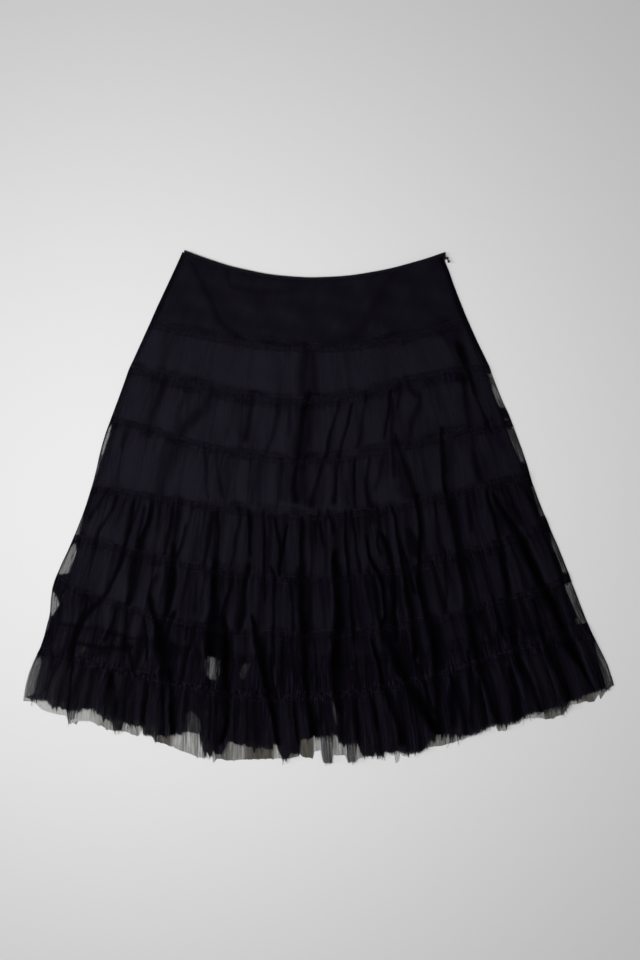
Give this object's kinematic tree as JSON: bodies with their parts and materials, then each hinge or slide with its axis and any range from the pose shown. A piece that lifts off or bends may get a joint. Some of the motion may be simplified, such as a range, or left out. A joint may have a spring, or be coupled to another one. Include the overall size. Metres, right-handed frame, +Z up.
{
  "type": "tulle skirt",
  "caption": "Knee-length tiered tulle skirt over an opaque underskirt, laid flat with its front up: plain hip yoke, gathered tiers, ragged bottom ruffle, side zip.",
  "frame": {"origin": "centre of the garment's footprint, on the surface that it lies on", "axes": "+X across the skirt towards its zip side, +Y from hem to waist, +Z up out of the surface, through the front"},
  "size_m": [0.826, 0.72, 0.0157],
  "materials": {
    "tulle": "fine soft net, near black, matt with a faint sheen on folds",
    "lining": "opaque plain-woven underskirt cloth, near black",
    "binding": "folded edge cloth and zip tape, near black",
    "zip_metal": "black painted zip slider and pull, satin"
  },
  "bodies": {
    "skirt": {"yoke_front": "tulle", "yoke_back": "tulle", "tier_1_front": "tulle", "tier_1_back": "tulle", "tier_2_front": "tulle", "tier_2_back": "tulle", "tier_3_front": "tulle", "tier_3_back": "tulle", "tier_4_front": "tulle", "tier_4_back": "tulle", "tier_5_front": "tulle", "tier_5_back": "tulle", "tier_6_front": "tulle", "tier_6_back": "tulle", "tier_7_front": "tulle", "tier_7_back": "tulle", "lining_front": "lining", "lining_back": "lining", "waist_binding_front": "binding", "waist_binding_back": "binding", "zip_tape": "binding", "zip_slider": "zip_metal"},
    "pull_tab": {"zip_pull": "zip_metal"}
  },
  "joints": [
    {"name": "pull_tab_swing", "type": "hinge", "parent": "skirt", "child": "pull_tab", "pos_m": [0.1796, 0.3486, 0.00265], "axis": [0, 0, 1], "range_deg": [-18, 150]}
  ]
}
